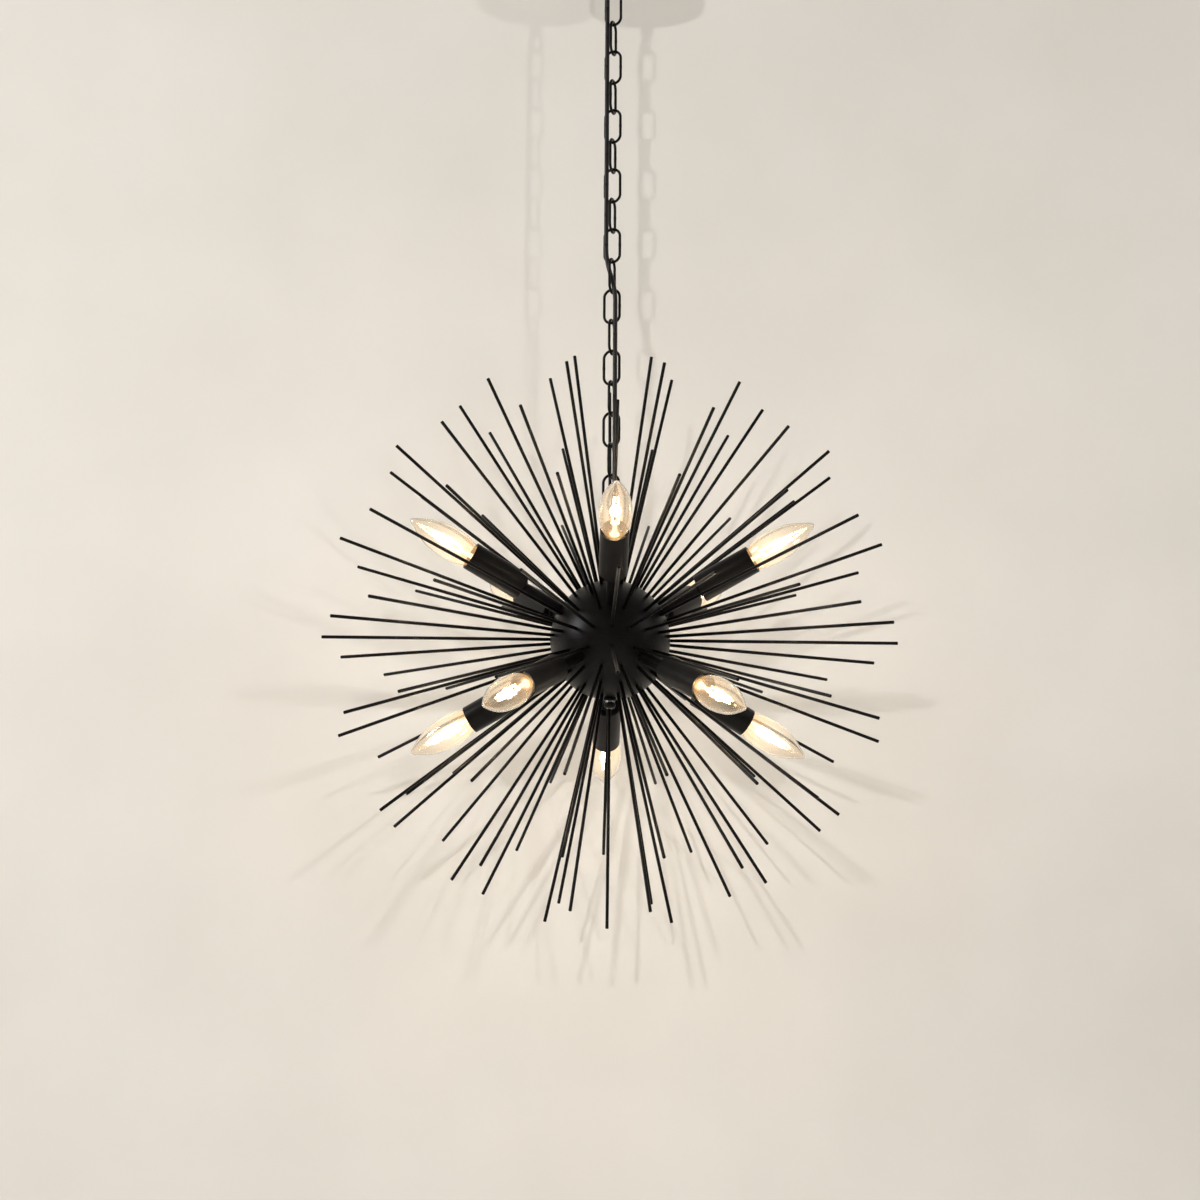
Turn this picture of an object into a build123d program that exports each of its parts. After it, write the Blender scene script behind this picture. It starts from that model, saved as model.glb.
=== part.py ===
from build123d import *
import os
from math import cos, pi, radians, sin, sqrt, tan

# Sputnik chandelier: a hub ball with radial rods and ten candle lights, hung on a chain.
#
# Millimetres. The origin is on the ceiling, at the middle of the canopy's rim. +Z is up and -Y
# faces the viewer. Latitudes and azimuths are those of the hub ball: azimuth 0 points to the
# viewer and grows towards +X.

os.makedirs("parts", exist_ok=True)

# ------------------------------------------------------------------ driving sizes
# hub ball
BALL_RADIUS = 63.5
BALL_WALL = 2.5
SEAM_LATITUDE = -9.6  # the two shells part between two rings of rods
SEAM_LIP = 2.0
SEAM_LIP_WALL = 1.2

# radial rods
ROD_DIAMETER = 3.5
ROD_REACH = 305.0  # centre of the ball to a rod's tip
ROD_TIP_ROUND = 0.8
RING_STEP = 19.2  # degrees of latitude between two rings of rods
# ring, counted from the equator: rods in the ring, azimuth of its first rod
ROD_RINGS = {
    4: (5, 36),
    3: (10, 18),
    2: (15, 0),
    1: (15, 12),
    0: (20, 0),
    -1: (15, 0),
    -2: (15, 12),
    -3: (10, 18),
    -4: (5, 36),
}

# lights: two rings of five, as the corners of an icosahedron without its poles
ARM_LATITUDE = 26.565
ARMS_IN_RING = 5
UPPER_ARM_AZIMUTH = 0
LOWER_ARM_AZIMUTH = 36
ARM_TUBE_DIAMETER = 12.0
ARM_TUBE_BORE = 7.0
ARM_TUBE_INSIDE = 9.0  # how far a tube runs on inside the ball
ARM_FLANGE_DIAMETER = 18.0
ARM_FLANGE_HEIGHT = 2.5
ARM_NUT_FLATS = 16.0
ARM_NUT_HEIGHT = 3.0

# socket cups
CUP_DIAMETER = 30.0
CUP_WALL = 1.2
CUP_FLOOR = 1.6
CUP_LENGTH = 64.0
CUP_START = 110.0  # centre of the ball to a cup's floor
CUP_ROUND = 1.5

# lampholders
HOLDER_DIAMETER = 22.0
HOLDER_LENGTH = 45.0
HOLDER_SEAT = 6.0  # how far the arm tube enters the lampholder
HOLDER_MOUTH_BELOW_CUP = 7.0
HOLDER_CHAMFER = 2.0
SHELL_WALL = 0.6
SHELL_LENGTH = 20.0
TONGUE_DIAMETER = 7.0
TONGUE_THICKNESS = 1.0
LEAD_DIAMETER = 4.0
LEAD_ENTRY = 3.0

# candle bulbs
BULB_BASE_DIAMETER = 13.6
BULB_BASE_LENGTH = 19.0
BULB_BASE_CHAMFER = 2.0
BULB_CONTACT_LENGTH = 1.5
BULB_CONTACT_DIAMETER = 5.0
BULB_THREADS = 5
BULB_THREAD_PITCH = 2.8
BULB_THREAD_DEPTH = 0.6
BULB_FIT = 0.4  # gap all round a bulb's base in its screw shell
GLASS_LENGTH = 81.0
GLASS_DIAMETER = 35.0
GLASS_NECK_DIAMETER = 15.0
GLASS_TIP_DIAMETER = 7.0
GLASS_TIP_LEAN = 20.0  # degrees by which the glass closes in where its round tip begins
GLASS_TAPER_DIAMETER = 24.0
GLASS_TAPER_AT = 0.76  # of the glass's length, above its neck
GLASS_BELLY_AT = 0.40
GLASS_FLARE = 0.9  # outwards for each millimetre up, at the neck
GLASS_WALL = 0.8
STEM_DIAMETER = 6.0
STEM_LENGTH = 20.0
FILAMENTS = 4
FILAMENT_DIAMETER = 1.8
FILAMENT_LENGTH = 34.0
FILAMENT_CIRCLE = 9.0

# centre tube with its nuts, finial and junction block
TUBE_DIAMETER = 10.0
TUBE_BORE = 7.0
TUBE_WINDOW = 5.0
TUBE_NUT_FLATS = 15.0
TUBE_NUT_HEIGHT = 4.0
NUT_CHAMFER = 0.5
FINIAL_DIAMETER = 13.0
FINIAL_HEIGHT = 10.5
FINIAL_DOME = 4.0
BLOCK_DIAMETER = 36.0
BLOCK_HEIGHT = 26.0
BLOCK_ROUND = 1.5
BLOCK_SOCKET = 5.0  # how far a lead enters the block

# loops at both ends of the chain
LOOP_WIRE = 3.6
LOOP_INNER_DIAMETER = 20.0
LOOP_COLLAR_DIAMETER = 22.0
LOOP_COLLAR_HEIGHT = 11.0
LOOP_NECK_DIAMETER = 12.0
LOOP_NECK_HEIGHT = 16.0
LOOP_THREAD_DEPTH = 14.0
LOOP_BORE = 8.0

# chain
LINKS = 18
LINK_WIRE = 3.0
LINK_INNER_LENGTH = 35.4
LINK_INNER_WIDTH = 14.5
LINK_PLAY = 0.4
CHAIN_TURN = -20.0  # how far the chain's planes are turned from the viewer's

# power cord, threaded down the chain
CORD_DIAMETER = 4.8
CORD_ALONG = 5.4  # from the chain's middle, in the plane of the wide links
CORD_ACROSS = 4.6  # and in the plane of the others
CROSSING_LINK = 9  # the link, counted from the ball, in which the cord changes sides
CROSSING_HALF = 16.0
EXIT_HEIGHT = 14.0  # over which the cord leaves a loop's bore for its place beside the chain
CORD_BEND_SHARE = 0.45  # of the shorter run at a corner, which the cord's bend takes up

# canopy and ceiling fitting
CANOPY_DIAMETER = 127.0
CANOPY_DEPTH = 26.0
CANOPY_WALL = 1.2
CANOPY_ROUND = 6.0
STRAP_LENGTH = 108.0
STRAP_WIDTH = 20.0
STRAP_THICKNESS = 2.5
SLOT_SPACING = 88.9
SLOT_LENGTH = 12.0
SLOT_WIDTH = 5.0
SCREW_DIAMETER = 4.2
SCREW_NECK_DIAMETER = 3.5  # plain neck under the head, which a rolled thread leaves thinner
SCREW_LENGTH = 22.0
SCREW_HEAD_DIAMETER = 8.0
SCREW_HEAD_HEIGHT = 2.6
SCREW_SLOT = 1.2
NIPPLE_ABOVE = 6.0  # above the ceiling, inside its junction box

FIT = 0.1  # gap all round between pieces that go one in the other
SEAT = 0.05  # gap between faces that rest on each other

# ------------------------------------------------------------------ sizes that follow
ROD_RADIUS = ROD_DIAMETER / 2
BALL_INNER = BALL_RADIUS - BALL_WALL
LINK_PITCH = LINK_INNER_LENGTH - LINK_PLAY
LOOP_NECK_TOP = LOOP_COLLAR_HEIGHT + LOOP_NECK_HEIGHT
LOOP_BEARING = LOOP_NECK_TOP + LOOP_INNER_DIAMETER  # a loop's foot to the inside of its ring
TUBE_HOLE = TUBE_DIAMETER / 2 + FIT
ARM_HOLE = ARM_TUBE_DIAMETER / 2 + FIT

CANOPY_LOOP_FOOT = -CANOPY_DEPTH - SEAT
UPPER_BEARING = CANOPY_LOOP_FOOT - LOOP_BEARING
LOWER_BEARING = UPPER_BEARING - LINKS * LINK_PITCH + LINK_PLAY
BALL_LOOP_FOOT = LOWER_BEARING - LOOP_BEARING
CENTRE_Z = BALL_LOOP_FOOT - BALL_RADIUS
CENTRE = Vector(0, 0, CENTRE_Z)

CUP_MOUTH = CUP_START + CUP_LENGTH
HOLDER_MOUTH = CUP_MOUTH - HOLDER_MOUTH_BELOW_CUP
HOLDER_START = HOLDER_MOUTH - HOLDER_LENGTH
ARM_TUBE_END = HOLDER_START + HOLDER_SEAT
GLASS_START = HOLDER_MOUTH + SEAT
BULB_TIP = GLASS_START + GLASS_LENGTH
BULB_BASE_START = GLASS_START - BULB_BASE_LENGTH
SHELL_BORE = BULB_BASE_DIAMETER + 2 * BULB_FIT
SHELL_DIAMETER = SHELL_BORE + 2 * SHELL_WALL
TONGUE_TOP = BULB_BASE_START - BULB_CONTACT_LENGTH - BULB_FIT
TONGUE_START = TONGUE_TOP - TONGUE_THICKNESS
LEAD_START = BLOCK_DIAMETER / 2 / cos(radians(ARM_LATITUDE)) - BLOCK_SOCKET
LEAD_END = ARM_TUBE_END + LEAD_ENTRY

UPWARDS = (Align.CENTER, Align.CENTER, Align.MIN)
DOWNWARDS = (Align.CENTER, Align.CENTER, Align.MAX)


def radial(latitude, azimuth, distance=0.0):
    """A place on a ray from the ball's centre, with its own Z axis pointing outwards."""
    lat, az = radians(latitude), radians(azimuth)
    outwards = Vector(cos(lat) * sin(az), -cos(lat) * cos(az), sin(lat))
    return Location(Plane(origin=CENTRE + outwards * distance, z_dir=outwards))


def azimuths(count, first):
    return [first + 360 / count * n for n in range(count)]


ARMS = [(ARM_LATITUDE, az) for az in azimuths(ARMS_IN_RING, UPPER_ARM_AZIMUTH)]
ARMS += [(-ARM_LATITUDE, az) for az in azimuths(ARMS_IN_RING, LOWER_ARM_AZIMUTH)]
RODS = [(ring * RING_STEP, az) for ring in ROD_RINGS for az in azimuths(*ROD_RINGS[ring])]


def at_arms(distance=0.0):
    return [radial(latitude, azimuth, distance) for latitude, azimuth in ARMS]


def finish(builder, name):
    """Label a finished piece and write it."""
    builder.part.label = name
    export_step(builder.part, f"parts/{name}.step")


# ------------------------------------------------------------------ ball
SEAM_Z = BALL_RADIUS * sin(radians(SEAM_LATITUDE))
LIP_RADIUS = sqrt((BALL_INNER + SEAM_LIP_WALL) ** 2 - SEAM_Z**2)


def cut_ball_holes():
    """Take the holes for rods, arm tubes and the centre tube from the shell being built."""
    with Locations(*[radial(latitude, azimuth, BALL_RADIUS / 2) for latitude, azimuth in RODS]):
        Cylinder(ROD_RADIUS + FIT / 2, BALL_RADIUS, align=UPWARDS, mode=Mode.SUBTRACT)
    with Locations(*at_arms()):
        Cylinder(ARM_HOLE, 2 * BALL_RADIUS, align=UPWARDS, mode=Mode.SUBTRACT)
    with Locations(CENTRE):
        Cylinder(TUBE_HOLE, 4 * BALL_RADIUS, mode=Mode.SUBTRACT)


with BuildPart() as ball_upper_shell:
    with Locations(CENTRE):
        Sphere(BALL_RADIUS)
        Sphere(BALL_INNER, mode=Mode.SUBTRACT)
    with Locations(CENTRE + Vector(0, 0, SEAM_Z + SEAT)):
        Cylinder(2 * BALL_RADIUS, 2 * BALL_RADIUS, align=DOWNWARDS, mode=Mode.SUBTRACT)
        Cylinder(LIP_RADIUS + FIT, SEAM_LIP + SEAT, align=UPWARDS, mode=Mode.SUBTRACT)
    cut_ball_holes()
finish(ball_upper_shell, "ball_upper_shell")

with BuildPart() as ball_lower_shell:
    with Locations(CENTRE):
        Sphere(BALL_RADIUS)
        Sphere(BALL_INNER, mode=Mode.SUBTRACT)
    with Locations(CENTRE + Vector(0, 0, SEAM_Z)):
        Cylinder(2 * BALL_RADIUS, 2 * BALL_RADIUS, align=UPWARDS, mode=Mode.SUBTRACT)
    with BuildSketch(Plane(CENTRE + Vector(0, 0, SEAM_Z - SEAM_LIP))):
        Circle(LIP_RADIUS)
        Circle(LIP_RADIUS - SEAM_LIP_WALL, mode=Mode.SUBTRACT)
    extrude(amount=2 * SEAM_LIP)
    cut_ball_holes()
finish(ball_lower_shell, "ball_lower_shell")

# ------------------------------------------------------------------ rods
with BuildPart() as rod_form:
    with BuildSketch(Plane.XY.offset(BALL_INNER)):
        Circle(ROD_RADIUS)
    extrude(amount=ROD_REACH - BALL_INNER)
    fillet(rod_form.edges().group_by(Axis.Z)[-1], ROD_TIP_ROUND)

with BuildPart() as radial_rods:
    with Locations(*[radial(latitude, azimuth) for latitude, azimuth in RODS]):
        add(rod_form.part)
finish(radial_rods, "radial_rods")


# ------------------------------------------------------------------ centre of the ball
def hexagon_nut(flats, height, hole_radius):
    """A hexagon nut standing on XY."""
    with BuildPart() as nut:
        with BuildSketch():
            RegularPolygon(flats / 2, 6, major_radius=False)
        extrude(amount=height)
        rims = nut.edges().group_by(Axis.Z)
        chamfer(rims[0] + rims[-1], NUT_CHAMFER)
        Cylinder(hole_radius, 4 * height, mode=Mode.SUBTRACT)
    return nut.part


def nut_face(flats):
    """Distance from the centre at which a nut's corners just meet the ball's inside."""
    return sqrt(BALL_INNER**2 - (flats / sqrt(3)) ** 2) - SEAT


TUBE_TOP = BALL_LOOP_FOOT + LOOP_THREAD_DEPTH - SEAT
TUBE_BOTTOM = CENTRE_Z - BALL_RADIUS - FINIAL_HEIGHT + FINIAL_DOME
with BuildPart() as centre_tube:
    with BuildSketch(Plane.XY.offset(TUBE_BOTTOM)):
        Circle(TUBE_DIAMETER / 2)
        Circle(TUBE_BORE / 2, mode=Mode.SUBTRACT)
    extrude(amount=TUBE_TOP - TUBE_BOTTOM)
    # the window by which the cord's cores reach the junction block
    with Locations(CENTRE + Vector(0, TUBE_DIAMETER / 2, 0)):
        Box(TUBE_WINDOW, TUBE_DIAMETER, 2 * TUBE_WINDOW, mode=Mode.SUBTRACT)
finish(centre_tube, "centre_tube")

tube_nut = hexagon_nut(TUBE_NUT_FLATS, TUBE_NUT_HEIGHT, TUBE_HOLE)
TUBE_NUT_FACE = nut_face(TUBE_NUT_FLATS)
with BuildPart() as centre_tube_nuts:
    with Locations((0, 0, CENTRE_Z + TUBE_NUT_FACE - TUBE_NUT_HEIGHT), (0, 0, CENTRE_Z - TUBE_NUT_FACE)):
        add(tube_nut)
finish(centre_tube_nuts, "centre_tube_nuts")

with BuildPart() as junction_block:
    with Locations(CENTRE):
        Cylinder(BLOCK_DIAMETER / 2, BLOCK_HEIGHT)
    fillet(junction_block.edges(), BLOCK_ROUND)
    with Locations(CENTRE):
        Cylinder(TUBE_HOLE, 2 * BLOCK_HEIGHT, mode=Mode.SUBTRACT)
    with Locations(*at_arms(LEAD_START - SEAT)):
        Cylinder(LEAD_DIAMETER / 2 + FIT, BLOCK_DIAMETER, align=UPWARDS, mode=Mode.SUBTRACT)
finish(junction_block, "junction_block")

with BuildPart() as bottom_finial:
    # drawn upside down on the ball's lower pole, then turned over
    with BuildSketch(Plane.XY.offset(BALL_RADIUS - BALL_WALL)):
        Circle(FINIAL_DIAMETER / 2)
    extrude(amount=BALL_WALL + FINIAL_HEIGHT)
    fillet(bottom_finial.edges().group_by(Axis.Z)[-1], FINIAL_DOME)
    Sphere(BALL_RADIUS + SEAT, mode=Mode.SUBTRACT)
    Cylinder(TUBE_HOLE, CENTRE_Z - TUBE_BOTTOM + SEAT, align=UPWARDS, mode=Mode.SUBTRACT)
with BuildPart() as bottom_finial_placed:
    with Locations(Location(CENTRE, (180, 0, 0))):
        add(bottom_finial.part)
finish(bottom_finial_placed, "bottom_finial")

# ------------------------------------------------------------------ arms
with BuildPart() as arm_form:
    with BuildSketch(Plane.XY.offset(BALL_INNER - ARM_TUBE_INSIDE)):
        Circle(ARM_TUBE_DIAMETER / 2)
    extrude(amount=ARM_TUBE_END - BALL_INNER + ARM_TUBE_INSIDE)
    with BuildSketch(Plane.XY.offset(CUP_START - SEAT - ARM_FLANGE_HEIGHT)) as flange_foot:
        Circle((ARM_TUBE_DIAMETER + ARM_FLANGE_DIAMETER) / 4)
    with BuildSketch(Plane.XY.offset(CUP_START - SEAT)) as flange_face:
        Circle(ARM_FLANGE_DIAMETER / 2)
    loft()
    Cylinder(ARM_TUBE_BORE / 2, 2 * CUP_MOUTH, mode=Mode.SUBTRACT)
with BuildPart() as arm_tubes:
    with Locations(*at_arms()):
        add(arm_form.part)
finish(arm_tubes, "arm_tubes")

arm_nut = hexagon_nut(ARM_NUT_FLATS, ARM_NUT_HEIGHT, ARM_HOLE)
with BuildPart() as arm_nuts:
    with Locations(*at_arms(nut_face(ARM_NUT_FLATS) - ARM_NUT_HEIGHT)):
        add(arm_nut)
    with Locations(*at_arms(CUP_START + CUP_FLOOR + SEAT)):
        add(arm_nut)
finish(arm_nuts, "arm_nuts")

with BuildPart() as cup_form:
    with BuildSketch(Plane.XY.offset(CUP_START)):
        Circle(CUP_DIAMETER / 2)
    extrude(amount=CUP_LENGTH)
    fillet(cup_form.edges().group_by(Axis.Z)[0], CUP_ROUND)
    with BuildSketch(Plane.XY.offset(CUP_START + CUP_FLOOR)):
        Circle(CUP_DIAMETER / 2 - CUP_WALL)
    extrude(amount=CUP_LENGTH, mode=Mode.SUBTRACT)
    Cylinder(ARM_HOLE, 4 * CUP_START, mode=Mode.SUBTRACT)
    fillet(cup_form.edges().group_by(Axis.Z)[-1], CUP_WALL / 3)
with BuildPart() as socket_cups:
    with Locations(*at_arms()):
        add(cup_form.part)
finish(socket_cups, "socket_cups")

# ------------------------------------------------------------------ lampholders
with BuildPart() as holder_form:
    with BuildSketch(Plane.XY.offset(HOLDER_START)):
        Circle(HOLDER_DIAMETER / 2)
    extrude(amount=HOLDER_LENGTH)
    chamfer(holder_form.edges().group_by(Axis.Z)[0], HOLDER_CHAMFER)
    with BuildSketch(Plane.XY.offset(HOLDER_START)):
        Circle(ARM_HOLE)
    extrude(amount=HOLDER_SEAT + SEAT, mode=Mode.SUBTRACT)
    with BuildSketch(Plane.XY.offset(ARM_TUBE_END)):
        Circle(LEAD_DIAMETER / 2 + FIT)
    extrude(amount=LEAD_ENTRY + SEAT, mode=Mode.SUBTRACT)
    with BuildSketch(Plane.XY.offset(TONGUE_START - SEAT)):
        Circle(SHELL_DIAMETER / 2 + FIT)
    extrude(amount=HOLDER_LENGTH, mode=Mode.SUBTRACT)
with BuildPart() as lampholders:
    with Locations(*at_arms()):
        add(holder_form.part)
finish(lampholders, "lampholders")

with BuildPart() as shell_form:
    with BuildSketch(Plane.XY.offset(HOLDER_MOUTH - SHELL_LENGTH)):
        Circle(SHELL_DIAMETER / 2)
        Circle(SHELL_BORE / 2, mode=Mode.SUBTRACT)
    extrude(amount=SHELL_LENGTH)
with BuildPart() as lampholder_shells:
    with Locations(*at_arms()):
        add(shell_form.part)
finish(lampholder_shells, "lampholder_shells")

with BuildPart() as lampholder_contacts:
    with Locations(*at_arms(TONGUE_START)):
        Cylinder(TONGUE_DIAMETER / 2, TONGUE_THICKNESS, align=UPWARDS)
finish(lampholder_contacts, "lampholder_contacts")

with BuildPart() as lampholder_leads:
    with Locations(*at_arms(LEAD_START)):
        Cylinder(LEAD_DIAMETER / 2, LEAD_END - LEAD_START, align=UPWARDS)
finish(lampholder_leads, "lampholder_leads")


# ------------------------------------------------------------------ bulbs
def draw_glass(inset):
    """The candle glass's half section, drawn in all round by an inset."""
    foot = (GLASS_NECK_DIAMETER / 2 - inset, GLASS_START + inset)
    belly = (GLASS_DIAMETER / 2 - inset, GLASS_START + GLASS_BELLY_AT * GLASS_LENGTH)
    taper = (GLASS_TAPER_DIAMETER / 2 - inset, GLASS_START + GLASS_TAPER_AT * GLASS_LENGTH)
    tip_radius = GLASS_TIP_DIAMETER / 2 - inset
    tip_z = BULB_TIP - GLASS_TIP_DIAMETER / 2
    lean = radians(GLASS_TIP_LEAN)
    tip = (tip_radius * cos(lean), tip_z + tip_radius * sin(lean))
    Line((0, tip_z + tip_radius), (0, GLASS_START + inset))
    Line((0, GLASS_START + inset), foot)
    Spline(foot, belly, taper, tip, tangents=[(GLASS_FLARE, 1), (-sin(lean), cos(lean))])
    CenterArc((0, tip_z), tip_radius, GLASS_TIP_LEAN, 90 - GLASS_TIP_LEAN)


with BuildPart() as glass_form:
    with BuildSketch(Plane.XZ):
        with BuildLine():
            draw_glass(0)
        make_face()
    revolve(axis=Axis.Z)
    with BuildSketch(Plane.XZ):
        with BuildLine():
            draw_glass(GLASS_WALL)
        make_face()
    revolve(axis=Axis.Z, mode=Mode.SUBTRACT)

with BuildPart() as base_form:
    with BuildSketch(Plane.XY.offset(BULB_BASE_START)):
        Circle(BULB_BASE_DIAMETER / 2)
    extrude(amount=BULB_BASE_LENGTH - SEAT)
    chamfer(base_form.edges().group_by(Axis.Z)[0], BULB_BASE_CHAMFER)
    first_groove = BULB_BASE_START + BULB_BASE_CHAMFER + BULB_THREAD_PITCH / 2
    with BuildSketch(Plane.XZ):
        with Locations(
            *[(BULB_BASE_DIAMETER / 2, first_groove + BULB_THREAD_PITCH * n) for n in range(BULB_THREADS)]
        ):
            Circle(BULB_THREAD_DEPTH)
    revolve(axis=Axis.Z, mode=Mode.SUBTRACT)
    with Locations((0, 0, BULB_BASE_START)):
        Cylinder(BULB_CONTACT_DIAMETER / 2, BULB_CONTACT_LENGTH, align=DOWNWARDS)
    # the glass stem with the filaments round it, inside the bulb
    with Locations((0, 0, GLASS_START + GLASS_WALL + SEAT)):
        Cylinder(STEM_DIAMETER / 2, STEM_LENGTH, align=UPWARDS)
    with Locations((0, 0, GLASS_START + GLASS_WALL + SEAT + STEM_LENGTH)):
        Cylinder(FILAMENT_CIRCLE / 2 + FILAMENT_DIAMETER, FILAMENT_DIAMETER, align=UPWARDS)
        with PolarLocations(FILAMENT_CIRCLE / 2, FILAMENTS):
            Cylinder(FILAMENT_DIAMETER / 2, FILAMENT_LENGTH, align=UPWARDS)

for number, (latitude, azimuth) in enumerate(ARMS, 1):
    with BuildPart() as bulb_glass:
        with Locations(radial(latitude, azimuth)):
            add(glass_form.part)
    finish(bulb_glass, f"bulb_glass_{number:02d}")
    with BuildPart() as bulb_base:
        with Locations(radial(latitude, azimuth)):
            add(base_form.part)
    finish(bulb_base, f"bulb_base_{number:02d}")

# ------------------------------------------------------------------ loops
with BuildPart() as loop_form:
    # a loop standing on XY: collar, neck and ring, with a bore for the tube and the cord
    with BuildSketch():
        Circle(LOOP_COLLAR_DIAMETER / 2)
    extrude(amount=LOOP_COLLAR_HEIGHT)
    with BuildSketch(Plane.XY.offset(LOOP_COLLAR_HEIGHT)):
        Circle((LOOP_COLLAR_DIAMETER + LOOP_NECK_DIAMETER) / 4)
    with BuildSketch(Plane.XY.offset(LOOP_NECK_TOP)):
        Circle(LOOP_NECK_DIAMETER / 2)
    loft()
    RING_CENTRE = LOOP_NECK_TOP + LOOP_INNER_DIAMETER / 2
    with BuildSketch(Plane.XY.offset(RING_CENTRE)):
        with Locations(((LOOP_INNER_DIAMETER + LOOP_WIRE) / 2, 0)):
            Circle(LOOP_WIRE / 2)
    revolve(axis=Axis((0, 0, RING_CENTRE), (0, 1, 0)))
    Cylinder(TUBE_HOLE, LOOP_THREAD_DEPTH, align=UPWARDS, mode=Mode.SUBTRACT)
    Cylinder(LOOP_BORE / 2, LOOP_NECK_TOP + LOOP_WIRE, align=UPWARDS, mode=Mode.SUBTRACT)

with BuildPart() as ball_loop:
    with Locations(Location((0, 0, BALL_LOOP_FOOT), (0, 0, CHAIN_TURN))):
        add(loop_form.part)
    with Locations(CENTRE):
        Sphere(BALL_RADIUS + SEAT, mode=Mode.SUBTRACT)
finish(ball_loop, "ball_loop")

with BuildPart() as canopy_loop:
    with Locations(Location((0, 0, CANOPY_LOOP_FOOT), (180, 0, 90 - CHAIN_TURN))):
        add(loop_form.part)
finish(canopy_loop, "canopy_loop")

# ------------------------------------------------------------------ chain
with BuildPart() as link_form:
    half_straight = (LINK_INNER_LENGTH - LINK_INNER_WIDTH) / 2
    bend = (LINK_INNER_WIDTH + LINK_WIRE) / 2
    with BuildLine() as link_path:
        Line((bend, 0, -half_straight), (bend, 0, half_straight))
        ThreePointArc((bend, 0, half_straight), (0, 0, half_straight + bend), (-bend, 0, half_straight))
        Line((-bend, 0, half_straight), (-bend, 0, -half_straight))
        ThreePointArc((-bend, 0, -half_straight), (0, 0, -half_straight - bend), (bend, 0, -half_straight))
    with BuildSketch(Plane((bend, 0, -half_straight), z_dir=(0, 0, 1))):
        Circle(LINK_WIRE / 2)
    sweep(path=link_path.wires()[0])


def link_z(number):
    """Height of a link's middle. Link 1 holds the ball's loop."""
    return LOWER_BEARING - LINK_PLAY + LINK_INNER_LENGTH / 2 + (number - 1) * LINK_PITCH


for number in range(1, LINKS + 1):
    # the even links face the viewer, and the odd ones stand across them
    with BuildPart() as link:
        with Locations(Location((0, 0, link_z(number)), (0, 0, CHAIN_TURN + 90 * (number % 2)))):
            add(link_form.part)
    finish(link, f"chain_link_{number:02d}")


# ------------------------------------------------------------------ power cord
def beside_chain(along, across, z):
    """A point by its distances from the chain's middle, in the chain's two planes."""
    turn = radians(CHAIN_TURN)
    return Vector(along * cos(turn) - across * sin(turn), along * sin(turn) + across * cos(turn), z)


LOWER_EXIT = BALL_LOOP_FOOT + LOOP_NECK_TOP - LOOP_WIRE / 2
UPPER_EXIT = CANOPY_LOOP_FOOT - LOOP_NECK_TOP + LOOP_WIRE / 2
CROSSING_Z = link_z(CROSSING_LINK)
cord_points = [
    Vector(0, 0, CENTRE_Z - TUBE_WINDOW / 2),
    Vector(0, 0, LOWER_EXIT),
    beside_chain(CORD_ALONG, -CORD_ACROSS, LOWER_EXIT + EXIT_HEIGHT),
    beside_chain(CORD_ALONG, -CORD_ACROSS, CROSSING_Z - CROSSING_HALF),
    beside_chain(-CORD_ALONG, -CORD_ACROSS, CROSSING_Z + CROSSING_HALF),
    beside_chain(-CORD_ALONG, -CORD_ACROSS, UPPER_EXIT - EXIT_HEIGHT),
    Vector(0, 0, UPPER_EXIT),
    Vector(0, 0, NIPPLE_ABOVE),
]
CORD_RADII = []
for before, corner, after in zip(cord_points, cord_points[1:], cord_points[2:]):
    half_turn = radians((corner - before).get_angle(after - corner)) / 2
    shorter_run = min((corner - before).length, (after - corner).length)
    CORD_RADII.append(CORD_BEND_SHARE * shorter_run / tan(half_turn))

with BuildPart() as power_cord:
    with BuildLine() as cord_path:
        FilletPolyline(*cord_points, radius=CORD_RADII)
    with BuildSketch(Plane(cord_points[0], z_dir=(0, 0, 1))):
        Circle(CORD_DIAMETER / 2)
    sweep(path=cord_path.wires()[0])
finish(power_cord, "power_cord")
cord_volume = pi * (CORD_DIAMETER / 2) ** 2 * cord_path.wires()[0].length
print("cord radii", [round(radius, 1) for radius in CORD_RADII])
print("cord volume over section times length", round(power_cord.part.volume / cord_volume, 5))

# ------------------------------------------------------------------ canopy and ceiling fitting
with BuildPart() as canopy:
    with BuildSketch():
        Circle(CANOPY_DIAMETER / 2)
    extrude(amount=-CANOPY_DEPTH)
    fillet(canopy.edges().group_by(Axis.Z)[0], CANOPY_ROUND)
    offset(amount=-CANOPY_WALL, openings=canopy.faces().sort_by(Axis.Z)[-1])
    Cylinder(TUBE_HOLE, 4 * CANOPY_DEPTH, mode=Mode.SUBTRACT)
finish(canopy, "canopy")

with BuildPart() as ceiling_strap:
    with BuildSketch():
        SlotOverall(STRAP_LENGTH, STRAP_WIDTH)
        Circle(TUBE_HOLE, mode=Mode.SUBTRACT)
        with Locations((-SLOT_SPACING / 2, 0), (SLOT_SPACING / 2, 0)):
            SlotOverall(SLOT_LENGTH, SLOT_WIDTH, mode=Mode.SUBTRACT)
    extrude(amount=-STRAP_THICKNESS)
finish(ceiling_strap, "ceiling_strap")

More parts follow.
